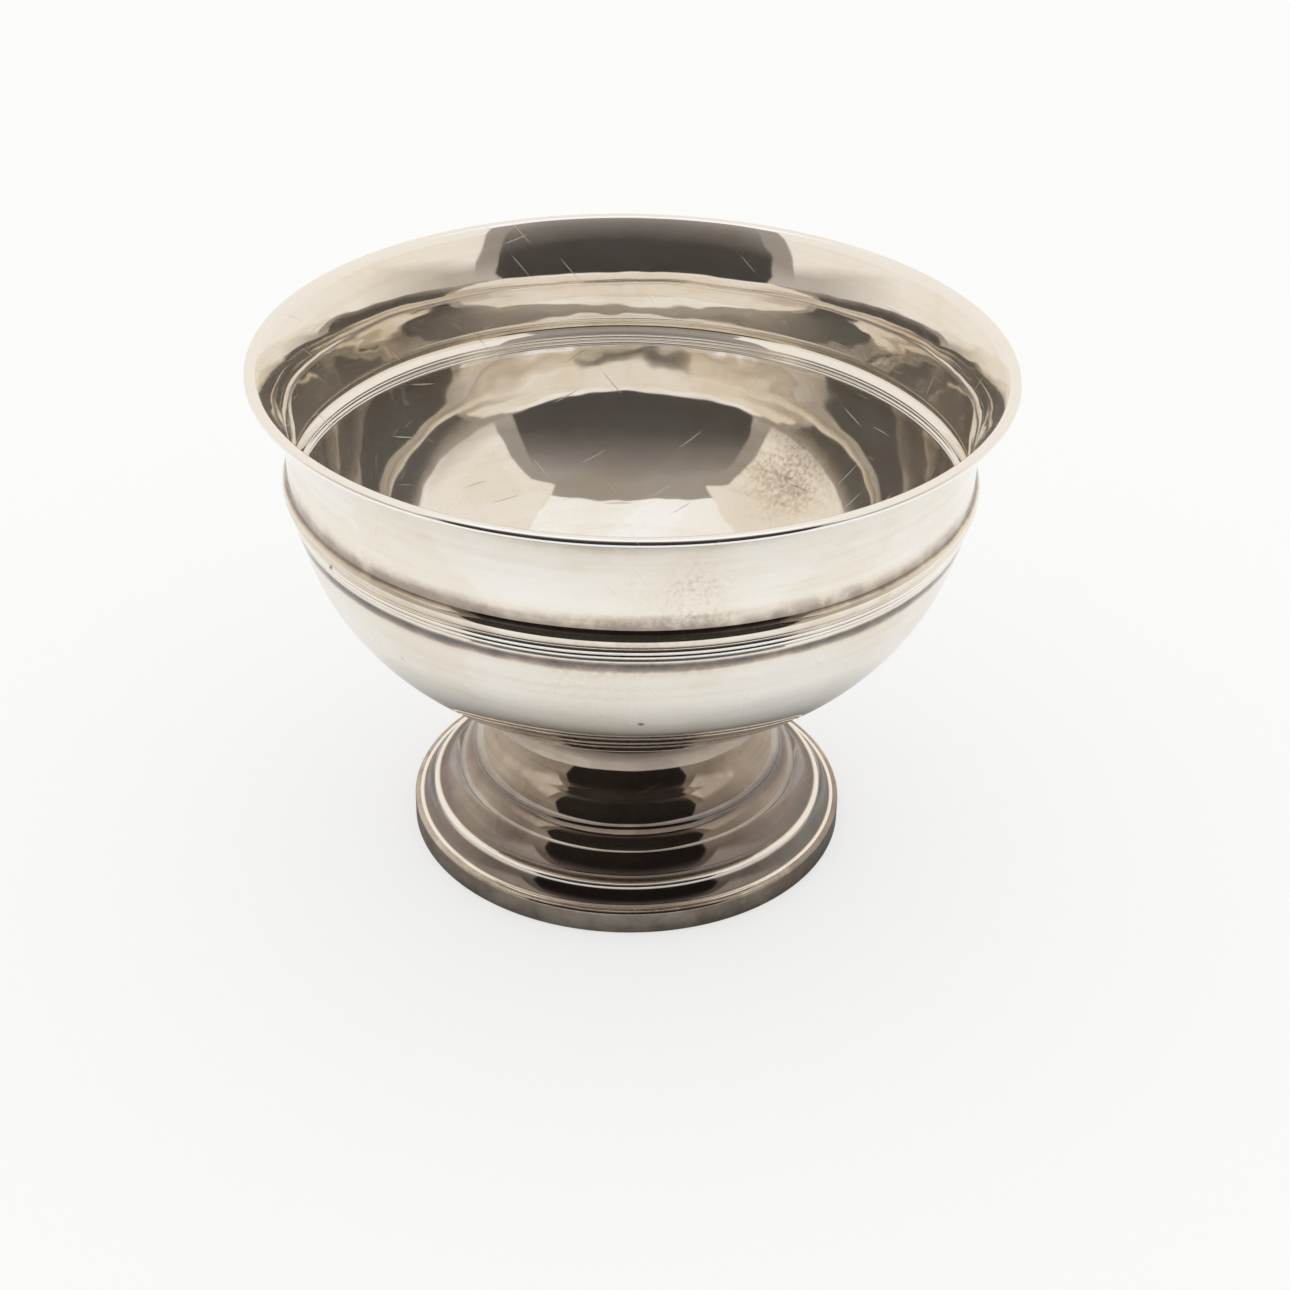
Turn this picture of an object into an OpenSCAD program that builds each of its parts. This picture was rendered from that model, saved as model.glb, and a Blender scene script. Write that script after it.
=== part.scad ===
// Pedestal sugar bowl in sheet silver: a round bowl with a flared lip and a reeded
// girdle, carried on a stepped, hollow foot that stands on a flat base wire.
// Every piece is a section turned about Z; the bowl stands on z = 0.

/* [Bowl] */
// Diameter over the rim wire
rim_d = 120; // [100:1:144]
// How far the rim stands out past the neck
lip_out = 5.6; // [4:0.1:8]
// Height of the flared lip above the neck
lip_h = 14.5; // [11:0.1:20]
// Straight height of the neck above the girdle's cove
neck_h = 2.6; // [1:0.1:8]
// How far the top of the body sits inside the neck
body_in = 0.35; // [0.2:0.05:0.6]
// Height of the body from its flat bottom to the girdle
body_h = 33.35; // [28:0.05:41]
// Radius of the slacker curve of the side under the girdle
side_r = 100; // [80:1:120]
// How many degrees the side leans out more at the girdle than one plain arc would
side_lean = 5.3; // [4:0.1:6.5]
// Radius of the flat at the middle of the bowl's bottom
flat_r = 15.5; // [12:0.5:18.5]
// Thickness of the bowl's sheet
bowl_wall = 0.8; // [0.6:0.05:1]
// Rounding of the lip's inner edge, as a multiple of the sheet's thickness
lip_soft = 1.3; // [0.4:0.05:1.35]

/* [Girdle] */
// How far the girdle's bead stands out past the neck
bead_out = 0.8; // [0.65:0.05:1]
// Radius of the hollow behind the bead
bead_hollow = 0.7; // [0.6:0.05:0.85]
// Radius of the cove that runs down from the neck to the bead
cove_r = 1.2; // [0.9:0.05:1.5]
// Number of fine reeds under the bead
reeds = 2; // [1:1:3]
// Radius of one reed
reed_r = 0.5; // [0.4:0.02:0.6]
// How far the first reed sits inside the bead
reed_in = 0.55; // [0.45:0.05:0.7]
// How far each reed steps in from the one above
reed_step = 0.4; // [0.3:0.05:0.5]
// Radius of the flute inside each reed
flute_r = 0.4; // [0.3:0.02:0.48]

/* [Wires] */
// Radius of the rim wire
wire_r = 0.6; // [0.45:0.05:0.75]
// Diameter of the base wire
base_d = 72.8; // [61:0.2:88]
// Height of the base wire
base_h = 4.2; // [3:0.1:6]
// Thickness of the base wire
base_t = 0.9; // [0.8:0.05:1.2]
// Rounding of the base wire's upper edge
base_round = 0.6; // [0.3:0.05:0.72]
// Rounding of the base wire's lower edge
sole_round = 0.4; // [0.2:0.05:0.5]

/* [Foot] */
// Thickness of the foot's sheet
foot_wall = 0.6; // [0.5:0.02:0.75]
// Inner radius of the bends at the edges of the step, the ring and the dome
bend_r = 0.05; // [0.05:0.05:0.3]
// Radius of the small hollow under the step's edge and under the ring
nip_r = 0.3; // [0.2:0.05:0.5]
// Flat between the base wire and the lower cove
base_land = 0.15; // [0.1:0.05:0.6]
// Radius of the lower cove
low_cove_r = 5.3; // [4.4:0.1:6.3]
// Tighter radius at the foot of the lower cove
low_toe_r = 1.4; // [1.1:0.1:1.7]
// Flat of the step above the lower cove
step_land = 0.45; // [0.2:0.05:0.8]
// Radius of the upper cove
high_cove_r = 8; // [6.7:0.1:9.6]
// Tighter radius at the foot of the upper cove
high_toe_r = 1.9; // [1.5:0.1:2.3]
// Radius of the rounded ring above the upper cove
ring_r = 4.1; // [3.4:0.1:5]
// Turn of the rounded ring
ring_turn = 62; // [52:1:74]
// Radius of the nick between the ring and the dome
nick_r = 0.8; // [0.6:0.05:1]
// Radius of the dome
dome_r = 7.2; // [6:0.1:8.7]
// Turn of the dome
dome_turn = 50; // [42:1:60]
// Radius of the hollow curve from the dome to the waist
waist_r = 7.2; // [6:0.1:8.7]
// How far the throat spreads from the waist up to the bowl
throat_out = 3.35; // [2.8:0.05:4]
// Height of the bowl's bottom above the waist
throat_h = 5.85; // [4.85:0.05:7]

/* [Solder] */
// Leg of the solder seam under the rim wire
rim_leg = 0.3; // [0.2:0.02:0.4]
// Leg of the solder seam where the bowl meets the foot
foot_leg = 1.2; // [0.8:0.1:1.5]
// Leg of the solder seam inside the base wire
base_leg = 0.8; // [0.5:0.05:1]

/* [Hidden] */
// Largest distance of a straight facet from its true arc
sag = 0.02;
$fn = 180;
// Angle of the cove where it meets the bead
cove_turn = 25;
// Angle of the bead where it meets the first reed
bead_low = 76;
// Angle at which the hollow behind the bead ends
hollow_low = 60;
// Room between the body's inner edge and the lowest reed
ledge_room = 0.12;
// Extra thickness of the sheet at each reed
reed_extra = 0.1;
// Angle of a foot cove at its head
cove_head = 25;
// Angle where a foot cove turns over into its tighter toe
cove_toe = 50;
// Angle of the ring and the dome just above their lower edges
round_low = 15;
silver = [0.84, 0.83, 0.80];
wire_silver = [0.88, 0.87, 0.85];
solder_silver = [0.74, 0.72, 0.68];

// A section is walked upwards: a is the elevation of the surface's outward normal.
function out(a) = [cos(a), sin(a)];
function ahead(a) = [-sin(a), cos(a)];
function pieces(r, turn) = max(1, ceil(abs(turn) / (2 * acos(1 - sag / max(abs(r), 4 * sag)))));
function arc(c, r, a, b) =
    let (n = pieces(r, b - a))
    [for (i = [0:n]) c + r * out(a + (b - a) * i / n)];
function back(list) = [for (i = [len(list) - 1:-1:0]) list[i]];

// A stretch is [r, a, b, l]: an arc, hollow when r is negative, or a straight of length l when r is 0.
// A face at depth w runs parallel to the outer one, w further into the metal.
function stretch_end(s, p) =
    s[0] == 0 ? p + s[3] * ahead(s[1]) : p + s[0] * (out(s[2]) - out(s[1]));
function stretch_face(s, p, w) =
    s[0] == 0
    ? [stretch_end(s, p) - w * out(s[1])]
    : let (n = pieces(s[0], s[2] - s[1]), c = p - s[0] * out(s[1]))
      [for (i = [1:n]) c + (s[0] - w) * out(s[1] + (s[2] - s[1]) * i / n)];
function run(list, p, w, i = 0) =
    i == len(list)
    ? []
    : concat(stretch_face(list[i], p, w), run(list, stretch_end(list[i], p), w, i + 1));
function face(list, p, w = 0) = concat([p - w * out(list[0][1])], run(list, p, w));
function walk_end(list, p, i = 0) =
    i == len(list) ? p : walk_end(list, stretch_end(list[i], p), i + 1);

// Where two circles cross, on the left of the way from the first centre to the second.
function cross_left(c1, r1, c2, r2) =
    let (d = norm(c2 - c1), u = (c2 - c1) / d, k = (r1 * r1 - r2 * r2 + d * d) / (2 * d))
    c1 + k * u + sqrt(r1 * r1 - k * k) * [-u.y, u.x];
function bearing(c, p) = atan2(p.y - c.y, p.x - c.x);
function leg_turn(leg, r) = 2 * asin(leg / 2 / r);

// Foot, from the base wire up to the waist.
base_r = base_d / 2;
edge_r = bend_r + foot_wall;
foot_start = [base_r - base_t, base_h];
foot_rise = [
    [0, 90, 90, base_land],
    [-low_toe_r, 90, cove_toe],
    [-low_cove_r, cove_toe, cove_head],
    [-nip_r, cove_head, 0],
    [edge_r, 0, 90],
    [0, 90, 90, step_land],
    [-high_toe_r, 90, cove_toe],
    [-high_cove_r, cove_toe, cove_head],
    [-nip_r, cove_head, 0],
    [edge_r, 0, round_low],
    [ring_r, round_low, ring_turn],
    [-nick_r, ring_turn, 0],
    [edge_r, 0, round_low],
    [dome_r, round_low, dome_turn],
    [-waist_r, dome_turn, 0],
];
waist = walk_end(foot_rise, foot_start);

// Bowl, from its bottom up: a flat, an arc up to side_a and a slacker arc up to side_b.
bowl_z = waist.y + throat_h;
rim_r = rim_d / 2;
neck_r = rim_r - lip_out;
body_r = neck_r - body_in;
body_run = body_r - flat_r;
side_b = 90 - 2 * atan(body_h / body_run) + side_lean;
side_c = [side_r * cos(side_b) - body_run, side_r * (1 - sin(side_b)) - body_h];
side_a = 90 - 2 * atan(side_c.y / side_c.x);
body_rho = side_r - side_c.x / cos(side_a);
body_c = [flat_r, bowl_z + body_rho];
girdle_z = bowl_z + body_h + bowl_wall * sin(side_b) + ledge_room;
bead_r = bead_hollow + bowl_wall;
bead_c = [neck_r + bead_out - bead_r, girdle_z + 2 * reed_r * reeds + bead_r * sin(bead_low)];
crease_r = neck_r + cove_r * (1 - cos(cove_turn));
bead_high = acos((crease_r - bead_c.x) / bead_r);
crease = bead_c + bead_r * out(bead_high);
neck_z = crease.y + cove_r * sin(cove_turn) + neck_h;
rim_z = neck_z + lip_h;
function reed_c(i) =
    [bead_c.x + bead_r - reed_in - reed_step * (reeds - 1 - i) - reed_r, girdle_z + reed_r * (2 * i + 1)];
function flute_c(i) = reed_c(i) + [reed_r - flute_r - bowl_wall - reed_extra, 0];

// The lip ends in a flat seat for the rim wire, which is flush with the lip's top.
function seat_foot(a) =
    [rim_r - wire_r - 2 * wire_r * cos(a) * sin(a), rim_z - 2 * wire_r * pow(cos(a), 2)];
function settle(a, n) =
    n == 0 ? a : settle(2 * atan((seat_foot(a).x - neck_r) / (seat_foot(a).y - neck_z)), n - 1);
lip_a = settle(40, 20);
flare_r = (seat_foot(lip_a).y - neck_z) / sin(lip_a);
wire_c = [rim_r - wire_r, rim_z - wire_r];
wire_end = -90 - 2 * lip_a;
seam_a = lip_a - leg_turn(rim_leg, flare_r);
lip_rise = [
    [-cove_r, cove_turn, 0],
    [0, 0, 0, neck_h],
    [-flare_r, 0, -seam_a],
    [-flare_r, -seam_a, -lip_a],
];
wire_seat = [0, -lip_a, -lip_a, 2 * wire_r * cos(lip_a)];

// The lip's inner edge is a circle that touches the flare's inner face and the level of the rim.
lip_ease = lip_soft * bowl_wall;
ease_a = asin((rim_z - lip_ease - neck_z) / (flare_r + bowl_wall - lip_ease));
ease_c = [neck_r + flare_r, neck_z] + (flare_r + bowl_wall - lip_ease) * out(180 - ease_a);

// The foot's throat is the arc that leaves the waist upright and ends on the bowl's round bottom.
joint_r = waist.x + throat_out;
joint_out = [joint_r, body_c.y - sqrt(body_rho * body_rho - pow(joint_r - flat_r, 2))];
throat_r = (pow(throat_out, 2) + pow(joint_out.y - waist.y, 2)) / (2 * throat_out);
throat_c = waist + [throat_r, 0];
joint_in = cross_left(throat_c, throat_r + foot_wall, body_c, body_rho);
throat_out_a = bearing(joint_out, throat_c);
throat_in_a = bearing(joint_in, throat_c);
throat_seam_a = throat_in_a + leg_turn(foot_leg, throat_r + foot_wall);
body_out_a = bearing(body_c, joint_out);
body_in_a = bearing(body_c, joint_in);
body_seam_a = body_in_a - leg_turn(foot_leg, body_rho);
body_rise = [
    [0, -90, -90, flat_r],
    [body_rho, -90, body_seam_a],
    [body_rho, body_seam_a, body_in_a],
    [body_rho, body_in_a, body_out_a],
    [body_rho, body_out_a, -side_a],
    [side_r, -side_a, -side_b],
];

// Spun sheet: flat bottom, round body, reeds and bead, neck and flared lip.
module bowl_body() {
    bottom = [0, bowl_z];
    outside = concat(
        face(body_rise, bottom),
        [for (i = [0:reeds - 1]) each arc(reed_c(i), reed_r, -90, 90)],
        arc(bead_c, bead_r, -bead_low, bead_high),
        run(lip_rise, crease, 0),
        [stretch_end(wire_seat, seat_foot(lip_a))]
    );
    lip = arc(ease_c, lip_ease, 90, 180 - ease_a);
    lip_inside = [lip_rise[0], lip_rise[1], [-flare_r, 0, -ease_a]];
    inside = concat(
        face(body_rise, bottom, bowl_wall),
        [for (i = [0:reeds - 1]) each arc(flute_c(i), flute_r, -90, 90)],
        arc(bead_c, bead_hollow, -hollow_low, bead_high),
        face(lip_inside, crease, bowl_wall)
    );
    color(silver)
        rotate_extrude()
            polygon(concat(outside, lip, back(inside)));
}

// Drawn round wire with one flat, flush with the top of the lip.
module rim_wire() {
    seam = leg_turn(rim_leg, wire_r);
    outline = concat(
        arc(wire_c, wire_r, 90, wire_end + seam),
        [wire_c + wire_r * out(wire_end)]
    );
    color(wire_silver)
        rotate_extrude()
            polygon(outline);
}

// Seam that fills the crevice between the rim wire and the flare.
module rim_solder() {
    on_wire = wire_c + wire_r * out(wire_end + leg_turn(rim_leg, wire_r));
    on_flare = walk_end([for (i = [0:2]) lip_rise[i]], crease);
    color(solder_silver)
        rotate_extrude()
            polygon([seat_foot(lip_a), on_wire, on_flare]);
}

// Spun sheet: two coves with a step between them, ring, dome, waist and throat.
module foot_shell() {
    outside = face(concat(foot_rise, [[-throat_r, 0, throat_out_a]]), foot_start);
    inside = face(
        concat(foot_rise, [[-throat_r, 0, throat_seam_a], [-throat_r, throat_seam_a, throat_in_a]]),
        foot_start,
        foot_wall
    );
    color(silver)
        rotate_extrude()
            polygon(concat(outside, back(inside)));
}

// Seam inside the throat, in the wedge under the bowl's bottom.
module foot_solder() {
    on_foot = face(
        [[-throat_r, throat_seam_a, throat_in_a]],
        throat_c - throat_r * out(throat_seam_a),
        foot_wall
    );
    on_bowl = face([[body_rho, body_seam_a, body_in_a]], body_c + body_rho * out(body_seam_a));
    color(solder_silver)
        rotate_extrude()
            polygon(concat(on_foot, [for (i = [len(on_bowl) - 2:-1:0]) on_bowl[i]]));
}

// Drawn flat wire on edge, which the foot's sheet butts against.
module base_wire() {
    outline = face(
        [
            [0, -90, -90, base_t - sole_round],
            [sole_round, -90, 0],
            [0, 0, 0, base_h - sole_round - base_round],
            [base_round, 0, 90],
            [0, 90, 90, base_t - base_round],
        ],
        [base_r - base_t, 0]
    );
    color(wire_silver)
        rotate_extrude()
            polygon(outline);
}

// Seam in the corner under the foot's sheet, inside the base wire.
module base_solder() {
    corner = foot_start - [0, foot_wall];
    color(solder_silver)
        rotate_extrude()
            polygon([corner, corner - [base_leg, 0], corner - [0, base_leg]]);
}

bowl_body();
rim_wire();
rim_solder();
foot_shell();
foot_solder();
base_wire();
base_solder();
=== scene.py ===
"""Looks of a pedestal sugar bowl in polished, lightly tarnished silver.

Every piece is a section turned about Z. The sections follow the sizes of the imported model
and are sampled more finely than it, because a mirror finish shows every facet.
"""

import math
from functools import partial, reduce
from typing import NamedTuple

import bpy
import numpy as np
from bpy.props import FloatProperty, FloatVectorProperty, PointerProperty
from mathutils import Matrix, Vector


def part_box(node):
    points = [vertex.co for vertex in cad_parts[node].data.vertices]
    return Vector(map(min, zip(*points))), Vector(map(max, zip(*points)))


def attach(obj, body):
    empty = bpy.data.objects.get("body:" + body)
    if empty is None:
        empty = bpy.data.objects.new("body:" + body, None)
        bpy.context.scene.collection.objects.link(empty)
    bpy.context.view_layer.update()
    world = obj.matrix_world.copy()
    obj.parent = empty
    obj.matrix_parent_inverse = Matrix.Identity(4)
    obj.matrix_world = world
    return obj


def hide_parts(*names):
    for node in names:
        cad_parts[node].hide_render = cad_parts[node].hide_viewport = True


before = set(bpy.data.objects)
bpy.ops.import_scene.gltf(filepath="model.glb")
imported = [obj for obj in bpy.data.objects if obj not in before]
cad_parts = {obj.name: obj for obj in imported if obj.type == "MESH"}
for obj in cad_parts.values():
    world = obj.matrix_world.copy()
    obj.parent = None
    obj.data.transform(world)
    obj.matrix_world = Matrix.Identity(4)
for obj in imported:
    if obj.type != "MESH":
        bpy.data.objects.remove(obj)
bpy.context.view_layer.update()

bl_info = {
    "name": "Pedestal Sugar Bowl",
    "version": (1, 0, 0),
    "blender": (4, 5, 0),
    "location": "View3D > Sidebar > Sugar Bowl",
    "description": "Silver sugar bowl with a flared lip and a reeded girdle on a stepped foot",
    "category": "Object",
}

MM = 0.001


# Sizes and colours


def widest(node):
    """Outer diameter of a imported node, in metres."""
    low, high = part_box(node)
    return min(high.x - low.x, high.y - low.y)


def top_of(node):
    """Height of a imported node's top above the table, in metres."""
    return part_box(node)[1].z


def length(name, description, metres):
    """A length that a user can change."""
    return FloatProperty(name=name, description=description, default=metres, unit="LENGTH", precision=5)


def angle(name, description, degrees):
    """An angle that a user can change."""
    return FloatProperty(name=name, description=description, default=math.radians(degrees), subtype="ANGLE")


def linear(hex_colour):
    """Linear red, green and blue of an sRGB hex colour, by the sRGB transfer curve."""
    digits = hex_colour.lstrip("#")
    channels = np.array([int(digits[i : i + 2], 16) for i in (0, 2, 4)]) / 255
    bent = np.where(channels <= 0.04045, channels / 12.92, ((channels + 0.055) / 1.055) ** 2.4)
    return tuple(float(c) for c in bent)


def colour(name, description, hex_colour):
    """A colour that a user can change."""
    return FloatVectorProperty(
        name=name, description=description, default=linear(hex_colour), subtype="COLOR", size=3, min=0, max=1
    )


class BowlSizes(bpy.types.PropertyGroup):
    """Section of the bowl's sheet and of its rim wire."""

    rim_d: length("Rim diameter", "Over the rim wire", widest("rim_wire"))
    rim_z: length("Height", "Top of the lip above the table", top_of("rim_wire"))
    bottom_z: length("Bottom", "Underside of the bowl above the table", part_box("bowl_body")[0].z)
    lip_out: length("Lip overhang", "How far the rim stands out past the neck", 5.6 * MM)
    lip_h: length("Lip height", "Flared lip above the neck", 14.5 * MM)
    neck_h: length("Neck", "Straight height of the neck above its cove", 2.6 * MM)
    body_in: length("Body inset", "How far the body's top sits inside the neck", 0.35 * MM)
    body_h: length("Body height", "From the flat bottom to the girdle", 33.35 * MM)
    side_r: length("Side", "Radius of the slacker curve under the girdle", 100 * MM)
    side_lean: angle("Lean", "How much the side leans out more at the girdle than one arc would", 5.3)
    flat_r: length("Flat", "Radius of the flat at the middle of the bottom", 15.5 * MM)
    wall: length("Sheet", "Thickness of the sheet", 0.8 * MM)
    lip_ease: length("Lip easing", "Radius on the lip's inner edge", 1.04 * MM)
    bead_out: length("Bead overhang", "How far the bead stands out past the neck", 0.8 * MM)
    bead_hollow: length("Bead hollow", "Radius of the hollow behind the bead", 0.7 * MM)
    bead_low: angle("Bead underside", "Turn of the bead below its widest line", 76)
    hollow_low: angle("Hollow end", "Turn of the hollow below its widest line", 60)
    cove_r: length("Cove", "Radius of the cove between neck and bead", 1.2 * MM)
    cove_turn: angle("Cove turn", "Slope of the cove where it meets the bead", 25)
    reed_r: length("Reed", "Radius of one reed", 0.5 * MM)
    reed_in: length("Reed inset", "How far the first reed sits inside the bead", 0.55 * MM)
    reed_step: length("Reed step", "How far the second reed sits inside the first", 0.4 * MM)
    reed_extra: length("Reed thickness", "Extra thickness of the sheet at a reed", 0.1 * MM)
    flute_r: length("Flute", "Radius of the flute inside each reed", 0.4 * MM)
    ledge_room: length("Ledge", "Room between the body's inner edge and the lowest reed", 0.12 * MM)
    wire_r: length("Rim wire", "Radius of the rim wire", 0.6 * MM)
    seam: length("Rim seam", "Leg of the solder under the rim wire", 0.3 * MM)


class FootSizes(bpy.types.PropertyGroup):
    """Section of the foot's sheet and of its base wire."""

    base_d: length("Base diameter", "Over the base wire", widest("base_wire"))
    base_h: length("Base height", "Upright height of the base wire", top_of("base_wire"))
    base_t: length("Base wire", "Thickness of the base wire", 0.9 * MM)
    base_round: length("Upper edge", "Rounding of the base wire's upper edge", 0.6 * MM)
    sole_round: length("Lower edge", "Rounding of the base wire's lower edge", 0.4 * MM)
    wall: length("Sheet", "Thickness of the sheet", 0.6 * MM)
    bend_r: length("Bend", "Inner radius of the bends at the edges", 0.05 * MM)
    nip_r: length("Nip", "Radius of the small hollow under an edge", 0.3 * MM)
    cove_head: angle("Cove head", "Slope of a cove at its head", 25)
    cove_toe: angle("Cove toe", "Slope where a cove turns over into its tighter toe", 50)
    base_land: length("Base land", "Flat between the base wire and the lower cove", 0.15 * MM)
    low_cove_r: length("Lower cove", "Radius of the lower cove", 5.3 * MM)
    low_toe_r: length("Lower toe", "Tighter radius at the foot of the lower cove", 1.4 * MM)
    step_land: length("Step", "Flat above the step's edge", 0.45 * MM)
    high_cove_r: length("Upper cove", "Radius of the upper cove", 8 * MM)
    high_toe_r: length("Upper toe", "Tighter radius at the foot of the upper cove", 1.9 * MM)
    round_low: angle("Round", "Slope of the ring and the dome above their lower edges", 15)
    ring_r: length("Ring", "Radius of the rounded ring", 4.1 * MM)
    ring_turn: angle("Ring turn", "Turn of the rounded ring", 62)
    nick_r: length("Nick", "Radius of the nick under the dome", 0.8 * MM)
    dome_r: length("Dome", "Radius of the dome", 7.2 * MM)
    dome_turn: angle("Dome turn", "Turn of the dome", 50)
    waist_r: length("Waist", "Radius of the hollow curve from the dome to the waist", 7.2 * MM)
    throat_out: length("Throat", "How far the throat spreads from the waist up to the bowl", 3.35 * MM)
    seam: length("Throat seam", "Leg of the solder inside the throat", 1.2 * MM)
    base_seam: length("Base seam", "Leg of the solder inside the base wire", 0.8 * MM)


class SilverLook(bpy.types.PropertyGroup):
    """Finish of the silver."""

    bright: colour("Silver", "Where it was polished last", "#FBF9F6")
    straw: colour("Straw film", "Thinnest tarnish, a pale yellow", "#EEE5D6")
    brown: colour("Brown film", "Thin tarnish, a warm brown", "#AFA295")
    mauve: colour("Mauve film", "Thicker tarnish, between brown and blue", "#8B7F7A")
    blue: colour("Blue film", "Thick tarnish, a blue grey", "#6E7371")
    dark: colour("Dark film", "Thickest tarnish, almost black", "#38302B")
    spot: colour("Spots", "Small dark sulphide spots", "#4A4039")
    solder: colour("Solder", "Dull yellow grey of the seams", "#A79C8B")
    roughness: FloatProperty(
        name="Roughness", description="Of the bright silver", default=0.045, subtype="FACTOR"
    )
    hand_work: length("Hand work", "How far the hammer left the sheet out of round", 0.05 * MM)
    planish: length("Planishing", "Depth of the shallow facets of the last hammering", 0.2 * MM)


class StudioLook(bpy.types.PropertyGroup):
    """Floor, light and camera."""

    floor: colour("Floor", "Pale sweep", "#FCFCFB")
    light: colour("Light", "Soft light from all round", "#FFFFFF")
    # Tent colours are painted reflections: they glow on sheets that only the mirror finish sees and that
    # light nothing
    wall: colour("Tent", "Cloth of the light tent", "#F2EBE1")
    # Painted shadow: the floor's colour right under the bowl, as rays other than the camera's see it
    shade: colour("Shade", "Floor under the bowl, as the mirror finish sees it", "#3A3734")
    flap: colour("Flaps", "Shaded cloth beside and above the opening", "#968E86")
    # Painted shade: the tent's cloth low down in front, darker than its wall colour
    painted_cloth_shade: colour("Veil", "Cloth near the table, beside the opening", "#B9B0A6")
    # Painted dark reflection: what the mirror finish sees through the opening, put on a dark sheet
    dark: colour("Dark side", "What the mirror finish sees through the tent's opening", "#2B2725")
    camera_away: length("Camera distance", "From the bowl's axis, along the table", 338.787 * MM)
    camera_up: length("Camera height", "Above the table", 239.705 * MM)
    tilt: angle("Tilt", "How far the camera looks down", math.degrees(0.5495632))
    pan: angle("Pan", "How far the camera turns to the right", math.degrees(0.0079148))
    roll: angle("Roll", "How far the camera leans", math.degrees(0.0194378))
    lens_mm: FloatProperty(
        name="Lens", description="Focal length on a 36 mm frame", default=66.455, unit="CAMERA"
    )


# Sections, in metres: columns are the distance from the axis and the height


def outward(turn):
    """Unit vector at an elevation in radians: cosine outwards, sine upwards."""
    turn = np.asarray(turn, float)
    return np.stack([np.cos(turn), np.sin(turn)], -1)


def ahead(turn):
    """Unit vector a quarter turn on from outward(): the way that the section is walked."""
    return np.array([-math.sin(turn), math.cos(turn)])


STEP = 0.9 * MM  # longest facet of an arc
FEWEST = 8  # facets of the smallest arc
SAME_PLACE = 0.0001 * MM  # points closer than this are one


def sweep(radius, start, stop):
    """Elevations along an arc, spaced so that no facet is longer than STEP."""
    count = max(FEWEST, math.ceil(abs(radius * (stop - start)) / STEP))
    return np.linspace(start, stop, count + 1)


def arc(centre, radius, start, stop):
    """Points on a circle, from one elevation of its outward normal to another."""
    return np.asarray(centre) + radius * outward(sweep(radius, start, stop))


def walk(stretches, start, depth=0.0):
    """Points of a smooth section and its end. A stretch (radius, from, to) is an arc that keeps
    the normal's turn between two elevations, hollow when the radius is negative, and (0, turn,
    length) is a straight. A face at a depth runs parallel, that much further into the metal."""
    here, points = np.asarray(start, float), []
    for radius, first, last in stretches:
        if radius == 0:
            ends = np.stack([here, here + last * ahead(first)])
            points.append(ends - depth * outward(first))
            here = ends[1]
        else:
            centre = here - radius * outward(first)
            points.append(centre + (radius - depth) * outward(sweep(radius, first, last)))
            here = centre + radius * outward(last)
    return np.concatenate(points), here


def tidy(section):
    """The section without points that repeat their neighbour, walked so that the metal lies on
    the left, which makes its faces look outwards."""
    far = np.linalg.norm(np.diff(section, axis=0), axis=1) > SAME_PLACE
    kept = section[np.concatenate([[True], far])]
    after = np.roll(kept, -1, axis=0)
    area = np.sum(kept[:, 0] * after[:, 1] - after[:, 0] * kept[:, 1])
    return kept if area > 0 else kept[::-1]


def circles_cross(first, first_r, second, second_r):
    """Crossing of two circles that lies left of the way from the first centre to the second."""
    gap = second - first
    distance = np.hypot(*gap)
    along = gap / distance
    reach = (first_r**2 - second_r**2 + distance**2) / (2 * distance)
    return first + reach * along + math.sqrt(first_r**2 - reach**2) * np.array([-along[1], along[0]])


def bearing(centre, point):
    """Elevation of a point seen from a centre."""
    return math.atan2(point[1] - centre[1], point[0] - centre[0])


def leg_turn(leg, radius):
    """Turn whose chord on a circle is as long as a leg."""
    return 2 * math.asin(leg / 2 / radius)


UP, OUT, DOWN = math.radians(90), 0.0, math.radians(-90)


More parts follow.
